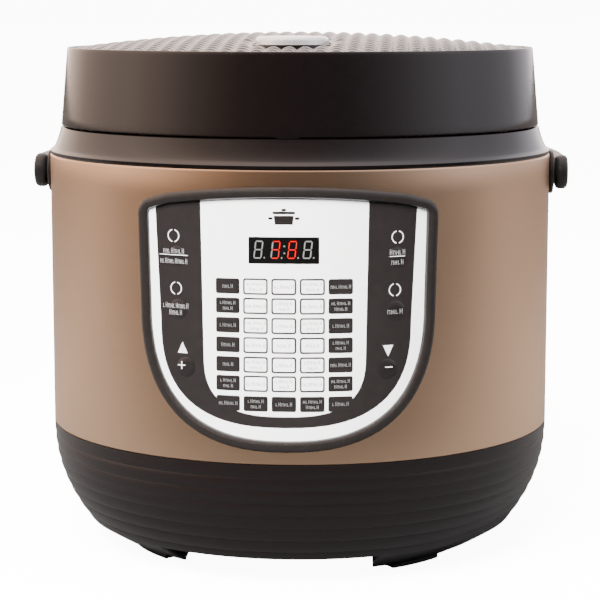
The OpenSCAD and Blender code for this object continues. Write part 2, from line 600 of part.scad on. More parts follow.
module latch_pin() color("silver") at_axis() translate([0, -hook_y, latch_z]) rotate([0, 90, 0])
    cylinder(r = latch_r, h = hook_w + 8, center = true, $fn = small);
stud_r = 5;
module lid_frame() color("#3a3435") at_axis() difference() {
    union() {
        translate([0, 0, frame_z]) cylinder(r = lid_side_r(frame_z + frame_t) - lid_wall - 0.3, h = frame_t, $fn = fine);
        translate([0, 0, frame_z - 5]) cylinder(r = stud_r, h = 6, $fn = small);
        for (side = [-1, 1]) translate([side * (hook_w / 2 + 2.5), -hook_y, frame_z + frame_t - 0.5]) difference() {
            block([3, 7, latch_z + 4 - frame_z - frame_t], [0, 0, (latch_z + 4 - frame_z - frame_t) / 2]);
            translate([0, 0, latch_z - frame_z - frame_t + 0.5]) rotate([0, 90, 0])
                cylinder(r = latch_r + 0.02, h = 8, center = true, $fn = small);
        }
    }
    block([hook_w + 1.6, 15, 12], [0, -(hook_y + 3.4), frame_z + 1]);
    translate([0, valve_y, frame_z - 1]) cylinder(r = 8.1, h = 10, $fn = 64);
}
inner_lid_r = rim_r - 5;
inner_lid_z = frame_z - 3;
module inner_lid() color("#c4c6c9") at_axis() difference() {
    translate([0, 0, inner_lid_z]) cylinder(r = inner_lid_r, h = 1.5, $fn = fine);
    translate([0, 0, inner_lid_z - 1]) cylinder(r = stud_r + 0.2, h = 5, $fn = small);
    translate([0, valve_y, inner_lid_z - 1]) cylinder(r = 4, h = 10, $fn = small);
}
gasket_low = rim_z + pot_t + 0.4;
module lid_gasket() color("#d9d6cf") at_axis() rotate_extrude($fn = fine) polygon([
    [inner_lid_r - 8, gasket_low], [rim_r - 0.5, gasket_low], [rim_r - 0.5, frame_z - 0.2],
    [inner_lid_r - 3, frame_z - 0.2], [inner_lid_r - 3, inner_lid_z + 1.6],
    [inner_lid_r + 0.2, inner_lid_z + 1.6], [inner_lid_r + 0.2, inner_lid_z - 0.1],
    [inner_lid_r - 8, inner_lid_z - 0.1]]);
module inner_lid_knob() color("#2b2b2d") at_axis() translate([0, 0, inner_lid_z - 8]) difference() {
    cylinder(r1 = 9, r2 = 13, h = 7.8, $fn = 64);
    translate([0, 0, 4.5]) cylinder(r = stud_r + 0.1, h = 8, $fn = small);
}
module valve_duct() color("#8a2f28") at_axis() translate([0, valve_y, inner_lid_z + 1.6])
    pipe(7.8, 5, well_floor + 1 - inner_lid_z - 1.6, 64);
valve_hollow = 10.5;
module valve_body() color("#2a2323") at_axis() translate([0, valve_y, well_floor + 2.4]) difference() {
    cylinder(r = valve_r, h = dome_z(valve_y - valve_r) - well_floor - 4, $fn = 64);
    translate([0, 0, -1]) cylinder(r = valve_r - 3, h = valve_hollow + 1, $fn = 64);
    for (x = [-8, 0, 8]) translate([x, 0, 0]) cube([2.4, 18, 60], center = true);
}
module valve_float() color("#b5282a") at_axis() translate([0, valve_y, well_floor + 2.6]) {
    cylinder(r = 9.4, h = 2, $fn = 48);
    cylinder(r = 4, h = 6, $fn = 48);
}

base_housing();
bottom_cover();
foot_pads();
bottom_screws();
steel_band();
top_collar();
inner_liner();
heating_plate();
heating_element();
plate_supports();
sensor_cap();
sensor_spring();
inner_pot();
power_board();
power_components();
thermal_fuse();
heater_wires();
mains_inlet();
inlet_pins();
control_bezel();
panel_carrier();
panel_film();
display_window();
display_module();
control_board();
tact_switches();
key_warm();
key_delay();
key_plus();
key_start();
key_menu();
key_minus();
hinge_pin();
hinge_spring();
striker();
handle_mounts();
handle_pins();
carry_handle();
handle_caps();
lid_cover();
lid_top_plate();
button_ring();
release_button();
button_spring();
latch_hook();
latch_pin();
lid_frame();
inner_lid();
lid_gasket();
inner_lid_knob();
valve_duct();
valve_body();
valve_float();
condensate_cup();
cup_holder();
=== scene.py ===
"""Looks of the electric pressure cooker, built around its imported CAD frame.

Lengths in this file are millimetres in the CAD frame, and MM turns them into metres. Front is -Y and +Z is
up, and the floor is at height 0.
"""

import json
import math

import bpy
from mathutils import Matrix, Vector


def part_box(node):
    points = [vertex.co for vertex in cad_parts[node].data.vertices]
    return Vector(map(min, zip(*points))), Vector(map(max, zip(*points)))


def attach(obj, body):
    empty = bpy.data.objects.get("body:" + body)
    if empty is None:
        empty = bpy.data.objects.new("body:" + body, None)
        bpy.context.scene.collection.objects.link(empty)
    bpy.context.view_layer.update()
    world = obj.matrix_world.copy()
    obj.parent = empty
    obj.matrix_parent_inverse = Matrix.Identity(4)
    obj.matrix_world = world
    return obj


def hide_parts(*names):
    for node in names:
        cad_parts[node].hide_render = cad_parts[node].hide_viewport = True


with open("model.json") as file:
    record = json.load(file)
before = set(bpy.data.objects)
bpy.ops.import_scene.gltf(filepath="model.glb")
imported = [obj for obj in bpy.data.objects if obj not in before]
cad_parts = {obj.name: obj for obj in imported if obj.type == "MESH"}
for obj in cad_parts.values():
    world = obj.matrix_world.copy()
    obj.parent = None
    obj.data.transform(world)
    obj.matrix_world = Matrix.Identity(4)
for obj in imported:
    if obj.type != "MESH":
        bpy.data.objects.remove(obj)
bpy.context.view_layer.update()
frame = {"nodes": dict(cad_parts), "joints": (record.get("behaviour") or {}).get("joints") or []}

MM = 0.001
RINGS, FINE_RINGS = 192, 256
POLE = 0.002  # radius that stands for the axis, where a ring cannot close to nothing


def span(node):
    """Lowest and highest corner of a CAD node, in millimetres."""
    low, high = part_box(node)
    return Vector(low) / MM, Vector(high) / MM


def joint_place(name):
    """Place of a joint, in millimetres."""
    return [v / MM for joint in frame["joints"] if joint["name"] == name for v in joint["pos_m"]]


band_low, band_high = span("steel_band")
plate_low, plate_high = span("lid_top_plate")
button_low, button_high = span("release_button")
valve_low, valve_high = span("valve_body")
BAND_R = (band_high.x - band_low.x) / 2
AXIS_Y = (band_low.y + band_high.y) / 2
BAND_Z, BAND_TOP = band_low.z, band_high.z
COLLAR_TOP = span("inner_liner")[1].z + 6
LID_Z, LID_RIM_Z = COLLAR_TOP + 1, span("lid_cover")[1].z
TOP_Z = plate_high.z
PLATE_R = (plate_high.x - plate_low.x) / 2
FILM_R = BAND_R + 1.8
LIP = 2.5
LID_R = BAND_R - 6.7
LID_TOP_R = PLATE_R + 1.1
BOWL_BOTTOM = span("bottom_cover")[0].z
BUTTON = [(a + b) / 2 for a, b in zip(button_low, button_high)][:2]
BUTTON_TOP, STEM_Z = button_high.z, button_low.z
BUTTON_R = (button_high.x - button_low.x) / 2
WELL_Z = span("button_ring")[0].z
VALVE = [(a + b) / 2 for a, b in zip(valve_low, valve_high)][:2]
VALVE_R = (valve_high.x - valve_low.x) / 2
HINGE, PIVOT = joint_place("lid_hinge"), joint_place("handle_swing")


# ---- Camera, floor and light ----
FLOOR_SEEN, SWEEP_SEEN = 10.5, 11.5  # brightness where the camera looks straight at them
SWEEP_SCALE = 5


def studio():
    """Camera a little to the right, the white floor, the sweep and two soft lights."""
    distance, side, height, tilt = 1196.4, 61.4, 311.8, 8.2
    bpy.ops.object.camera_add(
        location=(side * MM, (AXIS_Y - distance) * MM, height * MM),
        rotation=(math.radians(90 - tilt), 0, math.atan2(side, distance)),
    )
    camera = bpy.context.object
    camera.data.lens = 122.8
    camera.data.clip_end = 100
    bpy.context.scene.camera = camera
    bpy.ops.mesh.primitive_plane_add(size=60, location=(0, 0, 0))
    floor = bpy.context.object
    floor.name = "floor"
    floor.data.materials.append(floor_material())
    studio_world()
    soft_key("front_key", (-0.5, -1.6, 1.5), 1.2, 310, (1.0, 0.98, 0.97))
    soft_key("top_key", (0.3, 0.2, 1.9), 1.4, 30, (1.0, 1.0, 1.0))


def soft_key(name, place, size, power, colour):
    """Soft light that fills the matt surfaces and leaves no reflection on the gloss."""
    bpy.ops.object.light_add(type="AREA", location=place)
    light = bpy.context.object
    light.name = name
    light.data.size = size
    light.data.energy = power
    light.data.color = colour
    light.visible_glossy = False
    toward = Vector((0, 0, 0.16)) - Vector(place)
    light.rotation_euler = toward.to_track_quat("-Z", "Y").to_euler()


def math_node(tree, operation, first, second=None, third=None):
    """Math node whose inputs are numbers or links; returns its output."""
    node = tree.nodes.new("ShaderNodeMath")
    node.operation = operation
    for i, value in enumerate((first, second, third)):
        if value is None:
            continue
        if isinstance(value, (int, float)):
            node.inputs[i].default_value = value
        else:
            tree.links.new(value, node.inputs[i])
    return node.outputs[0]


def seen_or_lit(tree, lit_shader, seen_strength):
    """White where the camera looks straight at it, and the given shader for all other light."""
    path, seen = tree.nodes.new("ShaderNodeLightPath"), tree.nodes.new("ShaderNodeEmission")
    mix = tree.nodes.new("ShaderNodeMixShader")
    if tree.nodes.get("World Output"):
        seen = tree.nodes.new("ShaderNodeBackground")
    seen.inputs["Color"].default_value = (1, 1, 1, 1)
    seen.inputs["Strength"].default_value = seen_strength
    tree.links.new(path.outputs["Is Camera Ray"], mix.inputs["Fac"])
    tree.links.new(lit_shader, mix.inputs[1])
    tree.links.new(seen.outputs[0], mix.inputs[2])
    return mix.outputs[0], seen


def floor_material():
    """White floor that throws less light up in front of the cooker than behind it."""
    m = bpy.data.materials.new("floor_white")
    m.use_nodes = True
    tree = m.node_tree
    tree.nodes.clear()
    coords, split = tree.nodes.new("ShaderNodeTexCoord"), tree.nodes.new("ShaderNodeSeparateXYZ")
    tree.links.new(coords.outputs["Object"], split.inputs[0])
    shade = tree.nodes.new("ShaderNodeMapRange")
    shade.inputs["From Min"].default_value, shade.inputs["From Max"].default_value = -0.45, 0.35
    shade.inputs["To Min"].default_value, shade.inputs["To Max"].default_value = 0.03, 0.2
    tree.links.new(split.outputs["Y"], shade.inputs["Value"])
    matt, output = tree.nodes.new("ShaderNodeBsdfDiffuse"), tree.nodes.new("ShaderNodeOutputMaterial")
    tree.links.new(shade.outputs[0], matt.inputs["Color"])
    pale, add = tree.nodes.new("ShaderNodeBsdfDiffuse"), tree.nodes.new("ShaderNodeAddShader")
    pale.inputs["Color"].default_value = (0.93, 0.93, 0.93, 1)
    mixed, seen = seen_or_lit(tree, matt.outputs[0], FLOOR_SEEN)
    tree.links.new(pale.outputs[0], add.inputs[0])
    tree.links.new(seen.outputs[0], add.inputs[1])
    tree.links.new(add.outputs[0], mixed.node.inputs[2])
    tree.links.new(mixed, output.inputs["Surface"])
    return m


def studio_world():
    """Bright sweep behind, warm light from the left, cooler light from the right and a dim room in front."""
    world = bpy.data.worlds.new("studio")
    bpy.context.scene.world = world
    world.use_nodes = True
    tree = world.node_tree
    lit = tree.nodes["Background"]
    coords, split = tree.nodes.new("ShaderNodeTexCoord"), tree.nodes.new("ShaderNodeSeparateXYZ")
    tree.links.new(coords.outputs["Generated"], split.inputs[0])
    ramp, sides = tree.nodes.new("ShaderNodeValToRGB"), tree.nodes.new("ShaderNodeValToRGB")
    stops = ((0.0, 0.12), (0.05, 0.17), (0.18, 0.6), (0.3, 1.1), (0.45, 1.5), (0.62, 1.4), (0.78, 1.45),
             (0.92, 2.4), (1.0, 4.6))
    for i, (place, level) in enumerate(stops):
        stop = ramp.color_ramp.elements[i] if i < 2 else ramp.color_ramp.elements.new(place)
        grey = level / SWEEP_SCALE
        stop.position, stop.color = place, (grey, grey, grey, 1)
    tree.links.new(math_node(tree, "MULTIPLY_ADD", split.outputs["Y"], 0.5, 0.5), ramp.inputs["Fac"])
    warm, cool = sides.color_ramp.elements
    warm.position, warm.color = 0.25, (1.0, 0.75, 0.61, 1)
    cool.position, cool.color = 0.75, (0.56, 0.535, 0.57, 1)
    tree.links.new(math_node(tree, "MULTIPLY_ADD", split.outputs["X"], 0.5, 0.5), sides.inputs["Fac"])
    blend = tree.nodes.new("ShaderNodeMixRGB")
    blend.blend_type = "MULTIPLY"
    blend.inputs["Fac"].default_value = 1
    tree.links.new(ramp.outputs["Color"], blend.inputs["Color1"])
    tree.links.new(sides.outputs["Color"], blend.inputs["Color2"])
    tree.links.new(blend.outputs["Color"], lit.inputs["Color"])
    high = math_node(tree, "MAXIMUM", split.outputs["Z"], 0.0)
    tree.links.new(math_node(tree, "MULTIPLY_ADD", high, 3.7, 5.4), lit.inputs["Strength"])
    mixed, _ = seen_or_lit(tree, lit.outputs[0], SWEEP_SEEN)
    tree.links.new(mixed, tree.nodes["World Output"].inputs["Surface"])


# ---- Materials ----
def plain(name, colour, rough, metal=0.0, **sockets):
    """Material of one colour; sockets are named with _ for a space."""
    m = bpy.data.materials.new(name)
    m.use_nodes = True
    shader = m.node_tree.nodes["Principled BSDF"]
    shader.inputs["Base Color"].default_value = (*colour, 1)
    shader.inputs["Roughness"].default_value = rough
    shader.inputs["Metallic"].default_value = metal
    for socket, value in sockets.items():
        shader.inputs[socket.replace("_", " ")].default_value = value
    return m


def grained(name, colour, rough, metal=0.0, grain=900.0, stretch=(1, 1, 1), tint=0.06, rough_span=0.06,
            bump=0.04, depth=0.00004, **sockets):
    """Material whose colour, roughness and relief follow one procedural grain."""
    m = plain(name, colour, rough, metal, **sockets)
    tree = m.node_tree
    shader = tree.nodes["Principled BSDF"]
    make = tree.nodes.new
    coords, mapping = make("ShaderNodeTexCoord"), make("ShaderNodeMapping")
    mapping.inputs["Scale"].default_value = stretch
    fine, broad = make("ShaderNodeTexNoise"), make("ShaderNodeTexNoise")
    fine.inputs["Scale"].default_value, fine.inputs["Detail"].default_value = grain, 3
    broad.inputs["Scale"].default_value, broad.inputs["Detail"].default_value = 14, 4
    tree.links.new(coords.outputs["Object"], mapping.inputs["Vector"])
    tree.links.new(mapping.outputs["Vector"], fine.inputs["Vector"])
    tree.links.new(coords.outputs["Object"], broad.inputs["Vector"])
    both = math_node(tree, "MULTIPLY_ADD", broad.outputs["Fac"], 0.4, fine.outputs["Fac"])
    ramp = make("ShaderNodeValToRGB")
    dark, light = ramp.color_ramp.elements
    dark.position, light.position = 0.45, 0.95
    dark.color = (*[c * (1 - tint) for c in colour], 1)
    light.color = (*[min(c * (1 + tint), 1) for c in colour], 1)
    tree.links.new(both, ramp.inputs["Fac"])
    tree.links.new(ramp.outputs["Color"], shader.inputs["Base Color"])
    spread = make("ShaderNodeMapRange")
    spread.inputs["From Min"].default_value, spread.inputs["From Max"].default_value = 0.3, 1.1
    spread.inputs["To Min"].default_value = max(rough - rough_span, 0.02)
    spread.inputs["To Max"].default_value = rough + rough_span
    tree.links.new(both, spread.inputs["Value"])
    tree.links.new(spread.outputs["Result"], shader.inputs["Roughness"])
    relief = make("ShaderNodeBump")
    relief.inputs["Strength"].default_value, relief.inputs["Distance"].default_value = bump, depth
    tree.links.new(fine.outputs["Fac"], relief.inputs["Height"])
    tree.links.new(relief.outputs["Normal"], shader.inputs["Normal"])
    return m


BRUSHED = (0.25, 0.25, 60)
SHELL = grained("gloss_brown_black", (0.0018, 0.0011, 0.0011), 0.14, grain=300, bump=0.008, tint=0.12, IOR=1.66)
TOP = grained("ribbed_lid_plastic", (0.004, 0.003, 0.003), 0.2, grain=400, bump=0.03, tint=0.1, IOR=1.45)
BASE = grained("satin_brown_black", (0.003, 0.0019, 0.0019), 0.4, grain=1500, bump=0.25, tint=0.15)
STEEL_SKIN = grained("champagne_brushed_steel", (0.83, 0.565, 0.375), 0.3, 1.0, grain=110, stretch=BRUSHED,
                     tint=0.03, rough_span=0.02, bump=0.035, depth=0.00002, Specular_Tint=(0.9, 0.85, 0.8, 1))
BEZEL = grained("bezel_gloss", (0.0095, 0.008, 0.0075), 0.24, grain=300, bump=0.002, tint=0.1)
FILM_DARK = grained("film_dark", (0.0115, 0.0098, 0.0095), 0.12, grain=200, bump=0.01, tint=0.1, rough_span=0.03)
FILM_WHITE = grained("film_white", (1.0, 1.0, 1.0), 0.22, grain=200, bump=0.01, tint=0.02, rough_span=0.04)
# Silver strip: its pure white base colour is partly the pale film's own colour and partly a painted reflection of the
# bright studio in the silver.
FILM_SILVER_PAINTED_REFLECTION = grained("film_silver_painted_reflection", (1.0, 1.0, 1.0), 0.2, 0.0, grain=300, bump=0.02, tint=0.02)
PRINT_GREY = grained("print_grey", (0.012, 0.012, 0.0125), 0.35, grain=300, bump=0.01, tint=0.08)
PRINT_PALE = grained("print_pale", (0.07, 0.07, 0.072), 0.35, grain=300, bump=0.01, tint=0.05)
PRINT_LIGHT = grained("print_light", (0.4, 0.4, 0.4), 0.35, grain=300, bump=0.01, tint=0.05)
PRINT_SOFT = grained("print_soft", (0.2, 0.2, 0.2), 0.35, grain=300, bump=0.01, tint=0.05)
PRINT_WHITE = grained("print_white", (0.7, 0.7, 0.7), 0.3, grain=300, bump=0.01, tint=0.03)
KEY = grained("key_gloss", (0.0085, 0.0072, 0.007), 0.12, grain=200, bump=0.01, tint=0.1, rough_span=0.03)
SCREEN = grained("screen_black", (0.001, 0.001, 0.001), 0.09, grain=200, bump=0.005, tint=0.1, rough_span=0.02)
SEGMENT_OFF = grained("segment_off", (0.12, 0.125, 0.125), 0.3, grain=400, bump=0.01, tint=0.06)
SEGMENT_ON = grained("segment_on", (0.16, 0.0, 0.0), 0.3, grain=400, bump=0.01, tint=0.06,
                     Emission_Color=(1.0, 0.0, 0.0, 1), Emission_Strength=0.9)
CHROME = grained("satin_chrome", (0.95, 0.93, 0.92), 0.2, 0.85, grain=700, bump=0.004, tint=0.02, rough_span=0.03)
BLACK = grained("matte_black", (0.005, 0.0045, 0.0045), 0.38, grain=1400, bump=0.2, tint=0.12)
RUBBER = grained("rubber_black", (0.015, 0.015, 0.015), 0.7, grain=1600, bump=0.3, tint=0.15)
STEEL = grained("turned_steel", (0.6, 0.6, 0.61), 0.3, 1.0, grain=500, stretch=(1, 1, 6), bump=0.08, tint=0.06)
ALUMINIUM = grained("spun_aluminium", (0.74, 0.75, 0.76), 0.34, 1.0, grain=90, stretch=(1, 1, 30),
                    bump=0.1, tint=0.05)
POT = grained("pot_coating", (0.07, 0.07, 0.073), 0.36, 0.2, grain=1800, bump=0.2, tint=0.35, rough_span=0.08)
SEAL = grained("silicone_seal", (0.72, 0.71, 0.67), 0.5, grain=900, bump=0.05, tint=0.05)
RED_SEAL = grained("red_silicone", (0.45, 0.05, 0.035), 0.45, grain=900, bump=0.05, tint=0.1)
BOARD = grained("board_green", (0.03, 0.16, 0.07), 0.4, grain=500, bump=0.05, tint=0.2)
PARTS = grained("part_dark", (0.05, 0.05, 0.055), 0.42, grain=900, bump=0.1, tint=0.15)
CERAMIC = grained("ceramic", (0.78, 0.75, 0.68), 0.6, grain=1200, bump=0.15, tint=0.06)
WIRE = grained("wire_red", (0.4, 0.035, 0.025), 0.4, grain=900, bump=0.05, tint=0.1)
CLEAR = grained("cup_frosted", (0.7, 0.74, 0.76), 0.3, grain=700, bump=0.04, tint=0.04, Transmission_Weight=0.6)
INNER = grained("inner_plastic", (0.035, 0.032, 0.032), 0.45, grain=1400, bump=0.15, tint=0.15)


# ---- Modelling ----
DOUBLES = 0.01  # points closer than this become one


def fresh():
    """Starts with nothing selected."""
    bpy.ops.object.select_all(action="DESELECT")


def activate(o):
    """Selects one piece alone and makes it the active one."""
    fresh()
    o.select_set(True)
    bpy.context.view_layer.objects.active = o


def edit_mode(action="SELECT"):
    """Enters edit mode with all of the active piece selected, or none of it."""
    bpy.ops.object.mode_set(mode="EDIT")
    bpy.ops.mesh.select_all(action=action)


def object_mode():
    """Leaves edit mode."""
    bpy.ops.object.mode_set(mode="OBJECT")


def settle(name, material, angle=32):
    """Names the active piece, puts its place in its mesh and shades it."""
    o = bpy.context.object
    o.name = o.data.name = name
    bpy.ops.object.transform_apply(location=True, rotation=True, scale=True)
    o.data.materials.clear()
    o.data.materials.append(material)
    bpy.ops.object.shade_smooth_by_angle(angle=math.radians(angle))
    return o


def tidy_edit():
    """Closes doubles and turns faces outward, with the piece in edit mode, and leaves edit mode."""
    bpy.ops.mesh.select_all(action="SELECT")
    bpy.ops.mesh.remove_doubles(threshold=DOUBLES * MM)
    bpy.ops.mesh.normals_make_consistent(inside=False)
    object_mode()


def soften(o, width, angle):
    """Bevels the edges of a piece that are sharper than an angle in radians."""
    edges = o.modifiers.new("edges", "BEVEL")
    edges.width, edges.segments, edges.limit_method, edges.angle_limit = width * MM, 3, "ANGLE", angle
    bpy.ops.object.modifier_apply(modifier="edges")


def turned(outline, x, y, rings):
    """Extrudes and scales one ring through the outline's (radius, height) points, around a centre."""
    radius, height = max(outline[0][0], POLE), outline[0][1]
    fresh()
    bpy.ops.mesh.primitive_circle_add(vertices=rings, radius=radius * MM, location=(x * MM, y * MM, height * MM))
    edit_mode()
    for r, z in outline[1:]:
        r = max(r, POLE)
        bpy.ops.mesh.extrude_region_move(TRANSFORM_OT_translate={"value": (0, 0, (z - height) * MM)})
        bpy.ops.transform.resize(value=(r / radius, r / radius, 1), center_override=(x * MM, y * MM, z * MM))
        radius, height = r, z
    tidy_edit()


def lathe(name, outline, material, centre=(0, AXIS_Y), rings=RINGS, angle=32):
    """Turned piece with one material."""
    turned(outline, *centre, rings)
    return settle(name, material, angle)


def arc(cx, cz, r, a0, a1, steps=6):
    """Points of an arc, with angles in degrees from the outward direction."""
    turns = [math.radians(a0 + (a1 - a0) * i / steps) for i in range(steps + 1)]
    return [(cx + r * math.cos(t), cz + r * math.sin(t)) for t in turns]


def rounded_block(name, size, centre, material, radius, segments=3):
    """Box with rounded edges."""
    fresh()
    bpy.ops.mesh.primitive_cube_add(size=1, location=[c * MM for c in centre])
    bpy.context.object.scale = [s * MM for s in size]
    bpy.ops.object.transform_apply(scale=True)
    edit_mode()
    bpy.ops.mesh.bevel(offset=radius * MM, segments=segments, affect="EDGES")
    tidy_edit()
    return settle(name, material)


def rod(name, start, length, radius, material, rings=48, bevel=0.6):
    """Rod along X with rounded ends."""
    fresh()
    place = ((start[0] + length / 2) * MM, start[1] * MM, start[2] * MM)
    bpy.ops.mesh.primitive_cylinder_add(vertices=rings, radius=radius * MM, depth=length * MM, location=place,
                                        rotation=(0, math.pi / 2, 0))
    bpy.ops.object.transform_apply(location=True, rotation=True)
    soften(bpy.context.object, bevel, 1.0)
    return settle(name, material)


def join(name, pieces):
    """Joins pieces into the first one and names it."""
    fresh()
    for p in pieces:
        p.select_set(True)
    bpy.context.view_layer.objects.active = pieces[0]
    if len(pieces) > 1:
        bpy.ops.object.join()
    o = bpy.context.object
    o.name = o.data.name = name
    return o


def finish_piece(o, body, slot, *nodes):
    """Says which body a piece rides and hides the CAD nodes it takes the place of; the slot argument is not used."""
    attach(o, body)
    if nodes:
        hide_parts(*nodes)


# ---- Base ----
BOWL_DROP = BAND_Z - BOWL_BOTTOM
BOWL_DRAW = 20
RIB_PITCH, RIB_RELIEF = 7.4, 0.65
FOOT_TURNS, FOOT_SPAN = (53, 127), 48


def bowl_radius(z):
    """Radius of the ribbed bowl at a height."""
    fall = (BAND_Z - z) / BOWL_DROP
    rib = abs(math.sin(math.pi * (BAND_Z - z) / RIB_PITCH)) ** 0.7 - 1
    fade = min(1.0, (BAND_Z - z) / RIB_PITCH)
    return BAND_R - BOWL_DRAW * fall ** 2.25 + RIB_RELIEF * rib * fade


def base_shell():
    """Ribbed bowl on four feet."""
    steps = 84
    side = [(bowl_radius(z), z) for z in [BOWL_BOTTOM + BOWL_DROP * i / steps for i in range(steps + 1)]]
    outline = [(112, BOWL_BOTTOM + 3), (113, BOWL_BOTTOM), (BAND_R - 22, BOWL_BOTTOM - 0.3)] + side
    outline += [(BAND_R - 2, BAND_Z), (BAND_R - 2, BAND_Z - 4), (BAND_R - 8, BAND_Z - 12), (116, BOWL_BOTTOM + 5),
                (112, BOWL_BOTTOM + 3)]
    shell = lathe("base_bowl", outline, BASE, angle=24)
    feet = [foot(side * a - 6, side * 52.5 - 7.5) for side in (-1, 1) for a in FOOT_TURNS]
    return join("base_shell", [shell] + feet)


def foot(turn, inner_x):
    """Moulded skirt that carries the bowl's curve down to a foot, with its inner end cut straight."""
    floor_r = BAND_R - 43
    outline = [(floor_r - 13, 3), (floor_r + 0.8, 3), (floor_r + 2.2, 4)]
    outline += [(floor_r + 23 * ((z - 2.4) / (BOWL_BOTTOM - 2.4)) ** 0.9, z) for z in (7, 10, 13, BOWL_BOTTOM + 0.6)]
    outline += [(floor_r - 1, BOWL_BOTTOM - 0.2), (floor_r - 5, 10), (floor_r - 13, 3)]
    fresh()
    bpy.ops.mesh.primitive_circle_add(vertices=len(outline) - 1, radius=MM, fill_type="NGON")
    o = bpy.context.object
    for v, (r, z) in zip(o.data.vertices, outline):
        v.co = (r * MM, 0, z * MM)
    edit_mode()
    bpy.ops.mesh.spin(steps=32, angle=math.radians(FOOT_SPAN), center=(0, 0, 0), axis=(0, 0, 1))
    tidy_edit()
    soften(o, 1.6, 0.9)
    corners = [v.co.copy() for v in o.data.vertices]
    middle = math.atan2(sum(v.y for v in corners), sum(v.x for v in corners))
    o.rotation_euler = (0, 0, math.radians(turn - 90) - middle)
    bpy.ops.object.transform_apply(location=False, rotation=True, scale=False)
    edit_mode()
    away = 1 if turn > 0 else -1
    bpy.ops.mesh.bisect(plane_co=(inner_x * MM, 0, 0), plane_no=(away, 0, 0), use_fill=True, clear_inner=True)
    object_mode()
    o.location = (0, AXIS_Y * MM, 0)
    return settle("foot", BASE, 30)


# ---- Steel band and collar ----
def steel_band():
    """Upright steel skin with rolled edges."""
    outline = [(BAND_R - 1.2, BAND_Z + 0.2), (BAND_R - 0.5, BAND_Z), (BAND_R - 0.05, BAND_Z + 0.5)]
    outline += [(BAND_R, BAND_Z + 1.2 + (BAND_TOP - BAND_Z - 2.4) * i / 12) for i in range(13)]
    outline += [(BAND_R - 0.15, BAND_TOP - 0.6), (BAND_R - 0.55, BAND_TOP - 0.1), (BAND_R - 1.2, BAND_TOP),
                (BAND_R - 1.2, BAND_Z + 0.2)]
    return lathe("steel_skin", outline, STEEL_SKIN, rings=FINE_RINGS)


def collar():
    """Sloped collar above the band, with the hinge ears behind."""
    lip = BAND_TOP + LIP
    rise = COLLAR_TOP - lip
    outline = [(BAND_R - 2, BAND_TOP - 5), (BAND_R - 1.4, BAND_TOP), (BAND_R - 0.35, BAND_TOP + 0.15),
               (BAND_R - 0.1, BAND_TOP + 0.5), (BAND_R - 0.1, lip - 0.5), (BAND_R - 0.5, lip - 0.05)]
    outline += [(BAND_R - 0.9 - 5.6 * (i / 14) ** 0.62, lip + (rise - 0.5) * i / 14) for i in range(1, 15)]
    outline += [(LID_R - 0.5, COLLAR_TOP - 0.05), (LID_R - 1.5, COLLAR_TOP), (120.5, COLLAR_TOP),
                (119.4, COLLAR_TOP - 0.6), (119, COLLAR_TOP - 2), (119, COLLAR_TOP - 7), (122, COLLAR_TOP - 9),
                (BAND_R - 6, BAND_TOP - 5), (BAND_R - 2, BAND_TOP - 5)]
    parts = [lathe("collar_ring", outline, SHELL, rings=FINE_RINGS)]
    for side in (-1, 1):
        ear_x = side * 30
        parts.append(rod("ear", (ear_x - 5, HINGE[1], HINGE[2]), 10, 7, SHELL))
        parts.append(rounded_block("ear_foot", (10, 14, 12), (ear_x, HINGE[1], HINGE[2] - 6), SHELL, 0.8))
        parts.append(rounded_block("ear_root", (10, 20, 14), (ear_x, HINGE[1] - 3, COLLAR_TOP - 7), SHELL, 0.8))
    parts.append(rounded_block("hinge_base", (70, 12, 6), (0, HINGE[1] - 1, HINGE[2] - 17), SHELL, 1))
    return join("collar_shell", parts)


# ---- Lid ----
def dome_height(r):
    """Height of the lid's plain dome at a distance from the axis."""
    edge = LID_RIM_Z - 1.1
    rise = TOP_Z - edge
    ball = (PLATE_R ** 2 + rise ** 2) / (2 * rise)
    return TOP_Z - ball + math.sqrt(ball * ball - r * r)


def lid_side(z):
    """Radius of the lid's sloped side at a height."""
    return LID_R - (LID_R - LID_TOP_R) * (z - LID_Z) / (LID_RIM_Z - LID_Z)


def lid_shell():
    """Lid wall with a rounded rim, and the hinge lugs behind."""
    low = LID_Z - 0.3
    outline = [(LID_R - 2.5, low), (LID_R - 0.3, low), (LID_R - 0.05, low + 0.2), (lid_side(low + 0.9), low + 0.9)]
    outline += [(lid_side(z), z) for z in [low + 1 + (LID_RIM_Z - low - 2.2) * i / 10 for i in range(1, 11)]]
    outline += [(LID_TOP_R - 0.1, LID_RIM_Z + 0.2), (LID_TOP_R - 0.35, LID_RIM_Z + 0.55),
                (LID_TOP_R - 0.7, LID_RIM_Z + 0.65), (PLATE_R + 0.5, LID_RIM_Z + 0.5),
                (PLATE_R + 0.3, LID_RIM_Z - 1), (PLATE_R + 0.2, LID_RIM_Z - 5),
                (LID_TOP_R - 2.6, LID_RIM_Z - 6), (LID_R - 2.5, low)]
    parts = [lathe("lid_wall", outline, SHELL, rings=FINE_RINGS)]
    for x in (-17, 17):
        parts.append(rod("lug", (x - 6, HINGE[1], HINGE[2]), 12, 6.5, SHELL))
        parts.append(rounded_block("lug_root", (12, 12, 13), (x, HINGE[1] - 5.5, HINGE[2] + 5.6), SHELL, 1))
    return join("lid_shell", parts)


BUMP_PITCH, BUMP_RELIEF, BUMP_TOP, BUMP_ROUND = 8.4, 1.8, 1.2, 0.8
EDGE_FADE, WELL_FADE, WELL_SINK = 5, 7, 0.9
WELL_EDGE, SEAT_EDGE, STEM_HOLE = 1.5, 1.6, 3.1


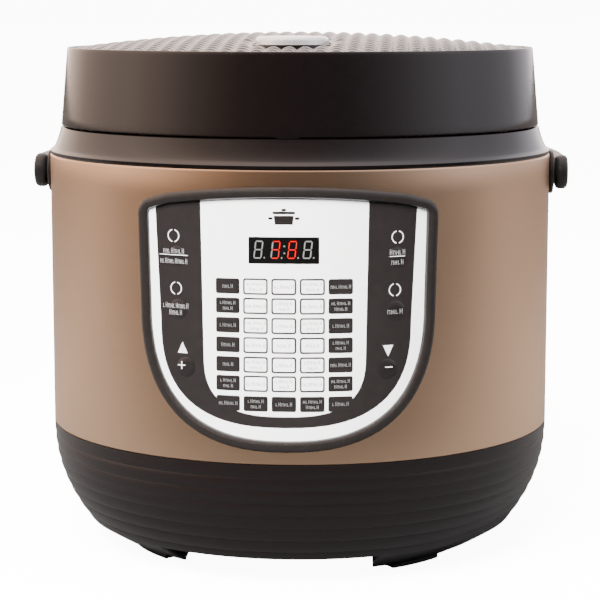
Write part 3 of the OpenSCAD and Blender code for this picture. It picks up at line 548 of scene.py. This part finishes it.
def top_height(x, y, r):
    """Height of the ribbed top; the ribs die away at the edge and at the button's well."""
    rib = abs(math.cos(math.pi * x / BUMP_PITCH)) ** BUMP_ROUND
    scallop = abs(math.cos(math.pi * (y + BUMP_PITCH * 0.25) / BUMP_PITCH)) ** BUMP_ROUND
    fade = min(1, max(0, (PLATE_R - 0.4 - r) / EDGE_FADE))
    calm = min(1, max(0, (math.hypot(x - BUTTON[0], y + AXIS_Y - BUTTON[1]) - BUTTON_R - WELL_EDGE) / WELL_FADE))
    bump = (BUMP_TOP - BUMP_RELIEF * (1 - rib * (0.3 + 0.7 * scallop))) * calm - WELL_SINK * (1 - calm)
    return dome_height(min(r, PLATE_R)) + bump * fade - 0.5 * (1 - fade)


def near(point, centre, reach):
    """Whether a point is within reach of a centre, seen from above."""
    return math.hypot(point.x - centre[0], point.y - centre[1]) < reach


def domed_plate():
    """Plate with rounded ribs from front to back, scalloped across into rows of bumps, and open at the wells."""
    steps = 210
    fresh()
    bpy.ops.mesh.primitive_grid_add(x_subdivisions=steps, y_subdivisions=steps, size=2)
    o = bpy.context.object
    for v in o.data.vertices:
        u, w = v.co.x, v.co.y
        x = u * math.sqrt(1 - w * w / 2) * (PLATE_R + 0.1)
        y = w * math.sqrt(1 - u * u / 2) * (PLATE_R + 0.1)
        v.co = (x * MM, (y + AXIS_Y) * MM, top_height(x, y, math.hypot(x, y)) * MM)
    edit_mode("DESELECT")
    object_mode()
    for face in o.data.polygons:
        c = face.center / MM
        face.select = near(c, BUTTON, BUTTON_R + WELL_EDGE) or near(c, VALVE, VALVE_R + SEAT_EDGE)
    bpy.ops.object.mode_set(mode="EDIT")
    bpy.ops.mesh.delete(type="FACE")
    object_mode()
    thick = o.modifiers.new("wall", "SOLIDIFY")
    thick.thickness, thick.offset = 1.6 * MM, -1
    bpy.ops.object.modifier_apply(modifier="wall")
    return settle("lid_top", TOP, 60)


def valve_seat():
    """Raised rim and well that the steam cap sits in."""
    r, z = VALVE_R, dome_height(abs(VALVE[1] - AXIS_Y) + VALVE_R)
    outline = [(r + 3, z - 2.2), (r + 2.9, z + 0.5), (r + 2.3, z + 0.9), (r + 1.2, z + 0.7), (r + 0.5, z - 0.2),
               (r + 0.4, z - 14), (9.5, z - 14.5), (9.5, z - 16), (r + 2, z - 16), (r + 3, z - 2.2)]
    return lathe("valve_well", outline, SHELL, VALVE, 96)


def lid_top():
    """Ribbed plate with the steam cap's seat."""
    return join("lid_top_plate_piece", [domed_plate(), valve_seat()])


def button_ring():
    """Ring and well that the release button sits in, with a hole for its stem."""
    r, z = BUTTON_R, dome_height(abs(BUTTON[1] - AXIS_Y))
    outline = [(r + 5, z - 3.4), (r + 2.1, z - 2.6), (r + 1.9, z - 1.3), (r + 1.4, z - 1.1), (r + 0.7, z - 1.5),
               (r + 0.5, z - 2.5), (r + 0.5, WELL_Z + 2), (STEM_HOLE, WELL_Z + 2), (STEM_HOLE, WELL_Z),
               (r + 4, WELL_Z), (r + 5, WELL_Z + 1), (r + 5, z - 3.4)]
    return lathe("button_well", outline, SHELL, BUTTON, 128)


def button():
    """Round cap with a soft edge, a skirt and a stem."""
    z, r = BUTTON_TOP - 2.6, BUTTON_R
    outline = [(0, z), (r * 0.5, z - 0.05), (r - 3.2, z - 0.25)] + arc(r - 2.6, z - 2.7, 2.4, 80, 0, 8)
    outline += [(r - 0.1, z - 5), (r, z - 14), (r - 0.4, z - 15.4), (r - 2.5, z - 15.4), (r - 2.5, z - 4), (2.5, z - 4),
                (2.5, STEM_Z + 0.5), (2, STEM_Z), (0, STEM_Z)]
    return lathe("button_cap", outline, CHROME, BUTTON, 128, 40)


def valve():
    """Hollow steam cap with three slots on top."""
    low, high, r = valve_low.z, valve_high.z, VALVE_R
    outline = [(0, high), (r - 2, high), (r - 0.6, high - 0.4), (r, high - 1.2), (r, low), (r - 3, low),
               (r - 3, low + 10.5), (0, low + 10.5)]
    cap = lathe("valve_top", outline, SHELL, VALVE, 96)
    slots = [rounded_block("slot", (2.2, 16, 0.5), (x, VALVE[1], high), INNER, 0.2, 2) for x in (-8, 0, 8)]
    return join("valve_cap", [cap] + slots)


# ---- Handle ----
def super_point(a, b, n, turn):
    """Point of a superellipse; a larger power n makes it squarer."""
    c, s = math.cos(turn), math.sin(turn)
    return (math.copysign(abs(c) ** (2 / n), c) * a, math.copysign(abs(s) ** (2 / n), s) * b)


def handle():
    """Bail with a rounded section, swept round the back of the body."""
    half_w, reach, thick, tall = 152.1, 181.0, 7.4, 19.6
    steps, section_steps = 64, 24
    curve = bpy.data.curves.new("bail", "CURVE")
    curve.dimensions, curve.twist_mode = "3D", "Z_UP"
    spline = curve.splines.new("POLY")
    spline.points.add(steps)
    for i, p in enumerate(spline.points):
        x, y = super_point(half_w, reach, 2.6, math.pi * i / steps)
        p.co = (x * MM, (y + AXIS_Y) * MM, PIVOT[2] * MM, 1)
    section = bpy.data.curves.new("bail_section", "CURVE")
    section.dimensions = "2D"
    loop = section.splines.new("POLY")
    loop.points.add(section_steps - 1)
    loop.use_cyclic_u = True
    for i, p in enumerate(loop.points):
        u, v = super_point(thick / 2, tall / 2, 2.8, 2 * math.pi * i / section_steps)
        p.co = (u * MM, v * MM, 0, 1)
    section_object = bpy.data.objects.new("bail_section", section)
    bpy.context.collection.objects.link(section_object)
    curve.bevel_mode, curve.bevel_object, curve.use_fill_caps = "OBJECT", section_object, True
    path = bpy.data.objects.new("bail", curve)
    bpy.context.collection.objects.link(path)
    activate(path)
    bpy.ops.object.convert(target="MESH")
    bail = settle("bail", BLACK, 50)
    bpy.data.objects.remove(section_object)
    ends = [rod("arm_end", (x - thick / 2, PIVOT[1], PIVOT[2]), thick, tall / 2 + 0.1, BLACK, 64, 2.6)
            for x in (-half_w, half_w)]
    return join("bail_handle", [bail] + ends)


def handle_bosses():
    """Round bosses on the band and the necks that reach to the arms."""
    boss, neck = 2.6, 2.4
    parts = []
    for side in (-1, 1):
        boss_x, neck_x = side * (BAND_R - 0.2) - boss / 2 + side * boss / 2, side * (BAND_R + neck) - neck / 2
        parts.append(rod("boss", (boss_x, PIVOT[1], PIVOT[2]), boss, 12.6, BLACK, 64, 1.2))
        parts.append(rod("neck", (neck_x, PIVOT[1], PIVOT[2]), neck, 6.5, BLACK, 48, 0.3))
    return join("handle_bosses", parts)


# ---- Control panel ----
FILM_INSET = 4.4
PANEL_HALF, PANEL_LOW, PANEL_TOP, PANEL_SAG, PANEL_CORNER = 80.5, 7.5, 147.2, 7, 9
PANEL_STEPS = 44
MID_Z = 85
GRAPHICS_SHIFT = -0.9
# How far each layer stands in front of the film, so that none hides another.
STRIP_LIFT, WHITE_LIFT, EDGE_LIFT, MARK_LIFT, FACE_LIFT = 0.05, 0.06, 0.1, 0.12, 0.14
WORD_LIFT, POT_LIFT, SEGMENT_LIFT, LABEL_LIFT, POST_LIFT = 0.18, 0.2, 0.22, 0.9, 0.92
# Each step across the bezel's rounded face: how far in and how far out.
BEZEL_STEPS = ((0.35, 0.75), (0.6, 0.6), (0.9, 0.4), (1.15, 0.15), (1.15, -0.15), (0.9, -0.45), (0.6, -0.8),
               (0.35, -1.3))


def half_turn(a, b, n, middle, steps):
    """Lower half of a superellipse, from the left to the right."""
    points = [super_point(a, b, n, math.pi + math.pi * i / steps) for i in range(steps + 1)]
    return [(s, middle + z) for s, z in points]


def panel_outline(inset):
    """Outline of the bezel drawn in by an inset: (arc length, height above the band's lower edge)."""
    a, b, top = PANEL_HALF - inset, MID_Z - PANEL_LOW - inset, PANEL_TOP - inset
    corner = max(PANEL_CORNER - inset, 3)
    wide, shoulder = a + 1.2, top - PANEL_SAG - corner
    points = half_turn(a, b, 2.45, MID_Z, PANEL_STEPS)
    points += arc(wide - corner, shoulder, corner, 0, 78)
    points += [(s, top - PANEL_SAG * (s / wide) ** 2) for s in [(wide - corner) * (1 - i / 8) for i in range(1, 16)]]
    points += arc(corner - wide, shoulder, corner, 102, 180)
    return points


def flat(name, outline, material, lift):
    """Flat patch in front of the panel's surface, ready to be bent round the body."""
    fresh()
    bpy.ops.mesh.primitive_circle_add(vertices=len(outline), radius=MM, fill_type="NGON")
    o = bpy.context.object
    for v, (s, z) in zip(o.data.vertices, outline):
        v.co = (s * MM, -lift * MM, (z + BAND_Z) * MM)
    o.name = name
    o.data.materials.append(material)
    return o


def slice_across(o, pitch=3.0):
    """Cuts a flat piece into upright strips, so that it bends smoothly."""
    places = [v.co.x / MM for v in o.data.vertices]
    low, high = min(places), max(places)
    wide = max(high, -low)
    activate(o)
    bpy.ops.object.mode_set(mode="EDIT")
    for i in range(int(-wide // pitch), int(wide // pitch) + 2):
        if low < i * pitch < high:
            bpy.ops.mesh.select_all(action="SELECT")
            bpy.ops.mesh.bisect(plane_co=(i * pitch * MM, 0, 0), plane_no=(1, 0, 0))
    object_mode()


def wrap(o, radius=FILM_R, shift=0.0):
    """Bends a flat piece round the body, so that lengths across become lengths round the band."""
    places = [v.co.x for v in o.data.vertices]
    wide = max(places) - min(places)
    activate(o)
    bend = o.modifiers.new("bend", "SIMPLE_DEFORM")
    bend.deform_method, bend.deform_axis, bend.angle = "BEND", "Z", wide / (radius * MM)
    bpy.ops.object.modifier_apply(modifier="bend")
    turn = shift / radius
    o.location = (radius * math.sin(turn) * MM, (AXIS_Y - radius * math.cos(turn)) * MM, 0)
    o.rotation_euler = (0, 0, turn)
    bpy.ops.object.transform_apply(location=True, rotation=True)


def outward(o):
    """Turns a patch's faces to the front."""
    activate(o)
    if sum(p.normal.y * p.area for p in o.data.polygons) > 0:
        edit_mode()
        bpy.ops.mesh.flip_normals()
        object_mode()


def bezel():
    """Closed ring round the film, with a rounded face."""
    o = flat("bezel", panel_outline(0), BEZEL, 0)
    outward(o)
    edit_mode()
    bpy.ops.mesh.extrude_region_move(TRANSFORM_OT_translate={"value": (0, -3.0 * MM, 0)})
    for width, rise in BEZEL_STEPS:
        bpy.ops.mesh.inset(thickness=width * MM, depth=rise * MM, use_even_offset=True)
    bpy.ops.mesh.extrude_region_move(TRANSFORM_OT_translate={"value": (0, 2.2 * MM, 0)})
    bpy.ops.mesh.delete(type="FACE")
    object_mode()
    for face in o.data.polygons:
        face.select = len(face.vertices) > 8
    bpy.ops.object.mode_set(mode="EDIT")
    bpy.ops.mesh.delete(type="ONLY_FACE")
    bpy.ops.mesh.select_all(action="DESELECT")
    bpy.ops.mesh.select_non_manifold()
    bpy.ops.mesh.bridge_edge_loops()
    tidy_edit()
    slice_across(o, 4.0)
    wrap(o, BAND_R)
    return settle("bezel_ring", BEZEL, 40)


def rounded(s, z, w, h, r, steps=3):
    """Outline of a rectangle with rounded corners, around a middle point."""
    x, y = w / 2 - r, h / 2 - r
    points = []
    for cx, cz, a in ((x, y, 0), (-x, y, 90), (-x, -y, 180), (x, -y, 270)):
        points += arc(s + cx, z + cz, r, a, a + 90, steps)
    return points


def lower_curve(a, b, n, middle, top):
    """Outline with straight sides from the top and a curved bottom."""
    return [(-top[0], top[1])] + half_turn(a, b, n, middle, 40) + [top]


MARKS = {}  # (ink, lift): rectangles of print


def mark(material, lift, s, z, w, h):
    """Notes one small rectangle of print, which print_marks() makes later."""
    MARKS.setdefault((material.name, lift), []).append((s, z, w, h))


def print_marks():
    """Makes the noted rectangles, one piece for each ink and lift."""
    pieces = []
    for (ink, lift), boxes in MARKS.items():
        fresh()
        bpy.ops.mesh.primitive_grid_add(x_subdivisions=len(boxes), y_subdivisions=1, size=MM)
        o = bpy.context.object
        edit_mode()
        bpy.ops.mesh.edge_split(type="EDGE")
        object_mode()
        for face, (s, z, w, h) in zip(o.data.polygons, boxes):
            corners = ((-w, -h), (w, -h), (w, h), (-w, h))
            for index, (dx, dz) in zip(face.vertices, corners):
                o.data.vertices[index].co = ((s + dx / 2) * MM, -lift * MM, (z + dz / 2 + BAND_Z) * MM)
        o.name = "marks"
        o.data.materials.append(bpy.data.materials[ink])
        pieces.append(o)
    return pieces


def word(s, z, count, material, lift, height, pitch):
    """Short row of plain marks, each of posts and a bar, that stands for a printed legend."""
    post, bar, bar_places = 0.17, 0.16, (0.88, 0.5, 0.12, 0.5)
    for i in range(count):
        x = s + (i - (count - 1) / 2) * pitch
        kind = (i * 5 + count * 3) % 4
        tall = height * (1.0 if kind == 3 else 0.8)
        low = z - height / 2
        for side in (-1, 1) if kind != 2 else (-1,):
            mark(material, lift, x + side * pitch * 0.27, low + tall / 2, post, tall)
        mark(material, lift, x, low + tall * bar_places[kind], pitch * 0.5, bar)


COLUMNS = [-29.7, -14.85, 0, 14.85, 29.7]
ROWS = [95.1, 84.9, 74.55, 64.2, 53.85, 43.8, 33.1]
LEGENDS = [3, 6, 6, 6, 7, 5, 7, 5, 6, 6, 5, 7, 5, 6, 5, 4, 6, 4, 4, 5, 3, 6, 5, 5, 7, 5, 6, 5, 6, 6, 6, 5, 5, 6, 5]
# Each segment's place in half widths and half heights, and whether it lies flat.
SEVEN = {"a": (0, 1, 1), "b": (1, 0.5, 0), "c": (1, -0.5, 0), "d": (0, -1, 1), "e": (-1, -0.5, 0),
         "f": (-1, 0.5, 0), "g": (0, 0, 1)}


def digit(s, z, lit):
    """Slanted seven-segment digit, with the lit segments red."""
    parts = []
    wide, tall, bar, slant = 4.4, 9.4, 0.68, 0.12
    for name, (dx, dz, lying) in SEVEN.items():
        w, h = (wide - bar * 1.3, bar) if lying else (bar, tall / 2 - bar * 1.3)
        cx, cz = dx * (wide - bar) / 2, dz * (tall - bar) / 2
        shape = [(s + x + slant * y, z + y) for x, y in rounded(cx, cz, w, h, 0.3, 1)]
        parts.append(flat("segment", shape, SEGMENT_ON if name in lit else SEGMENT_OFF, SEGMENT_LIFT))
    point = rounded(s + wide / 2 + 0.9, z - tall / 2 + 0.5, 0.85, 0.85, 0.4, 2)
    parts.append(flat("point", point, SEGMENT_OFF, SEGMENT_LIFT))
    return parts


def ring_mark(s, z):
    """Ring broken at the top and bottom."""
    marks = []
    for start in (-77, 103):
        outer = arc(s, z, 3.45, start, start + 154, 14)
        inner = arc(s, z, 2.9, start + 154, start, 14)
        marks.append(flat("ring_mark", outer + inner, PRINT_WHITE, MARK_LIFT))
    return marks


def key_legends():
    """Five by seven fields with their legends: dark at both sides and in the lowest row, white between."""
    pieces = []
    for r, z in enumerate(ROWS):
        for c, s in enumerate(COLUMNS):
            dark = c in (0, 4) or r == 6
            if dark:
                pieces.append(flat("legend", rounded(s, z, 12.9, 8.1, 1.0), FILM_DARK, MARK_LIFT))
            else:
                pieces.append(flat("legend_edge", rounded(s, z, 13.1, 8.6, 1.3), PRINT_GREY, EDGE_LIFT))
                pieces.append(flat("legend", rounded(s, z, 11.2, 6.7, 0.7), FILM_WHITE, FACE_LIFT))
            count = LEGENDS[r * 5 + c] + 1
            ink = PRINT_SOFT if dark else PRINT_PALE
            if count > 5 and (r + c) % 2:
                word(s, z + 1.45, count, ink, WORD_LIFT, 1.9, min(1.45, 11 / count))
                word(s, z - 1.45, count - 2, ink, WORD_LIFT, 1.9, 1.4)
            else:
                word(s, z, count, ink, WORD_LIFT, 2.1, min(1.5, 11 / count))
    return pieces


RING_MARKS = ((-60.4, 120.2), (-59, 92.5), (60.4, 120.2), (59, 92.5))
# Legend beside a key: across, up, number of marks, pitch.
LABELS = ((-60, 112.4, 8, 1.6), (-60, 107, 11, 1.5), (-59, 83.4, 10, 1.55), (-59, 79.8, 5, 1.6),
          (60, 112.4, 5, 1.8), (60, 107.2, 4, 1.8), (58.8, 81.2, 4, 2.3))
# Light print beside and on the keys: name, outline, lift.
SIGNS = (("divider", rounded(-60, 110.2, 17, 0.35, 0.1, 1), LABEL_LIFT),
         ("divider", rounded(60, 110.2, 8.6, 0.35, 0.1, 1), LABEL_LIFT),
         ("up_mark", [(-58.3, 58.2), (-52.5, 58.2), (-55.4, 64.2)], MARK_LIFT),
         ("down_mark", [(55.4, 57.4), (58.3, 63.4), (52.5, 63.4)], MARK_LIFT),
         ("plus_bar", rounded(-55.6, 51.8, 4.2, 0.6, 0.2, 1), LABEL_LIFT),
         ("plus_post", rounded(-55.6, 51.8, 0.6, 4.2, 0.2, 1), POST_LIFT),
         ("minus_bar", rounded(55.6, 51.8, 4.2, 0.6, 0.2, 1), LABEL_LIFT))
DIGITS = ((-13.2, ""), (-4.2, "abgcd"), (4.4, "abcdefg"), (12.4, ""))
DIGIT_Z = 114.5


def panel_graphics():
    """Film with its silver strip (white, partly the pale film's own colour and partly a painted reflection), white
    field, screen and print, bent round the body as one piece.
    """
    film = flat("film", panel_outline(FILM_INSET), FILM_DARK, 0)
    outer = [(-77.4, 137.5)] + panel_outline(FILM_INSET)[:PANEL_STEPS + 1] + [(77.4, 137.5)]
    inner = lower_curve(68.5, 55.6, 2.6, 76, (71.6, 136))
    # The strip's white is partly a painted reflection of the studio in the silver film.
    strip = flat("strip", outer + inner[::-1], FILM_SILVER_PAINTED_REFLECTION, STRIP_LIFT)
    white = flat("white_field", lower_curve(43.2, 33.7, 2.85, 60, (44.6, 140.6)), FILM_WHITE, WHITE_LIFT)
    screen = flat("screen", rounded(0, 114.1, 36.8, 14.0, 0.4, 2), SCREEN, FACE_LIFT)
    small = key_legends()
    for s, z in RING_MARKS:
        small += ring_mark(s, z)
    for s, z, count, pitch in LABELS:
        word(s, z, count, PRINT_LIGHT, LABEL_LIFT, 2.8, pitch)
    small += [flat(name, outline, PRINT_WHITE, lift) for name, outline, lift in SIGNS]
    for s, lit in DIGITS:
        small += digit(s, DIGIT_Z, lit)
    for dz in (-1.8, 1.8):
        small.append(flat("colon", rounded(0.3, DIGIT_Z + dz, 0.9, 0.9, 0.3, 2), SEGMENT_OFF, SEGMENT_LIFT))
    small += pictogram(0, 131.6) + print_marks()
    for o in (film, strip, white):
        slice_across(o)
    whole = join("graphics", [film, strip, white, screen] + small)
    slice_across(whole, 6.0)
    outward(whole)
    wrap(whole, FILM_R, GRAPHICS_SHIFT)
    bpy.ops.object.shade_smooth_by_angle(angle=math.radians(20))
    return whole


def pictogram(s, z):
    """Generic pot mark: a lidded pot with two grips."""
    ink = BEZEL
    shapes = [("mark_pot", [(s - 5.2, z + 0.6), (s - 4.6, z - 4), (s + 4.6, z - 4), (s + 5.2, z + 0.6)]),
              ("mark_lid", rounded(s, z + 2.1, 12, 1.3, 0.5, 1)),
              ("mark_knob", rounded(s, z + 3.6, 2.6, 1.3, 0.5, 1))]
    shapes += [("mark_grip", rounded(s + side * 6.9, z - 0.8, 2.6, 1.3, 0.5, 1)) for side in (-1, 1)]
    return [flat(name, outline, ink, POT_LIFT) for name, outline in shapes]


def key_dome(name, s, z):
    """Embossed key: a shallow dome that stands out of the film."""
    r = 5.3
    outline = [(0, 0.85), (2.2, 0.82), (3.8, 0.68), (4.7, 0.42), (r - 0.1, 0.12), (r, -0.6), (0, -0.6)]
    turned(outline, 0, 0, 48)
    o = bpy.context.object
    turn, crown = s / FILM_R, FILM_R + outline[0][1]
    o.rotation_euler = (math.pi / 2, 0, turn)
    o.location = (crown * math.sin(turn) * MM, (AXIS_Y - crown * math.cos(turn)) * MM, (BAND_Z + z) * MM)
    return settle(name, KEY, 40)


# Middle of each key: arc length across and height above the band's lower edge.
KEYS = {"key_warm": (-59.5, 109.6), "key_delay": (-58.6, 81.6), "key_plus": (-54.2, 51),
        "key_start": (59.5, 109.6), "key_menu": (58.6, 81.6), "key_minus": (54.2, 51)}
CAD_LOOKS = {
    "bottom_cover": BASE, "foot_pads": RUBBER, "bottom_screws": STEEL, "inner_liner": ALUMINIUM,
    "heating_plate": ALUMINIUM, "heating_element": STEEL, "plate_supports": CERAMIC, "sensor_cap": ALUMINIUM,
    "sensor_spring": STEEL, "inner_pot": POT, "power_board": BOARD, "power_components": PARTS,
    "thermal_fuse": CERAMIC, "heater_wires": WIRE, "mains_inlet": BLACK, "inlet_pins": STEEL,
    "panel_carrier": INNER, "display_module": PARTS, "control_board": BOARD, "tact_switches": PARTS,
    "hinge_pin": STEEL, "hinge_spring": STEEL, "striker": STEEL, "handle_pins": STEEL, "button_spring": STEEL,
    "latch_hook": STEEL, "latch_pin": STEEL, "lid_frame": INNER, "inner_lid": ALUMINIUM, "lid_gasket": SEAL,
    "inner_lid_knob": BLACK, "valve_duct": RED_SEAL, "valve_float": RED_SEAL, "condensate_cup": CLEAR,
    "cup_holder": BASE,
}

studio()
finish_piece(base_shell(), "root", "satin_base", "base_housing")
finish_piece(steel_band(), "root", "brushed_band", "steel_band")
finish_piece(collar(), "root", "dark_shell", "top_collar")
finish_piece(lid_shell(), "lid", "dark_shell", "lid_cover")
finish_piece(lid_top(), "lid", "dark_shell", "lid_top_plate")
finish_piece(button_ring(), "lid", "dark_shell", "button_ring")
finish_piece(button(), "release_button", "chrome", "release_button")
finish_piece(valve(), "steam_valve", "dark_shell", "valve_body")
finish_piece(handle(), "handle", "matte_black", "carry_handle", "handle_caps")
finish_piece(handle_bosses(), "root", "matte_black", "handle_mounts")
finish_piece(bezel(), "root", "bezel", "control_bezel")
finish_piece(panel_graphics(), "root", "film", "panel_film", "display_window")
for key_name, (key_s, key_z) in KEYS.items():
    finish_piece(key_dome(key_name + "_dome", key_s, key_z), key_name, "key_face", key_name)
for node_name, look in CAD_LOOKS.items():
    node = frame["nodes"][node_name]
    for material_slot in node.material_slots:
        material_slot.material = look
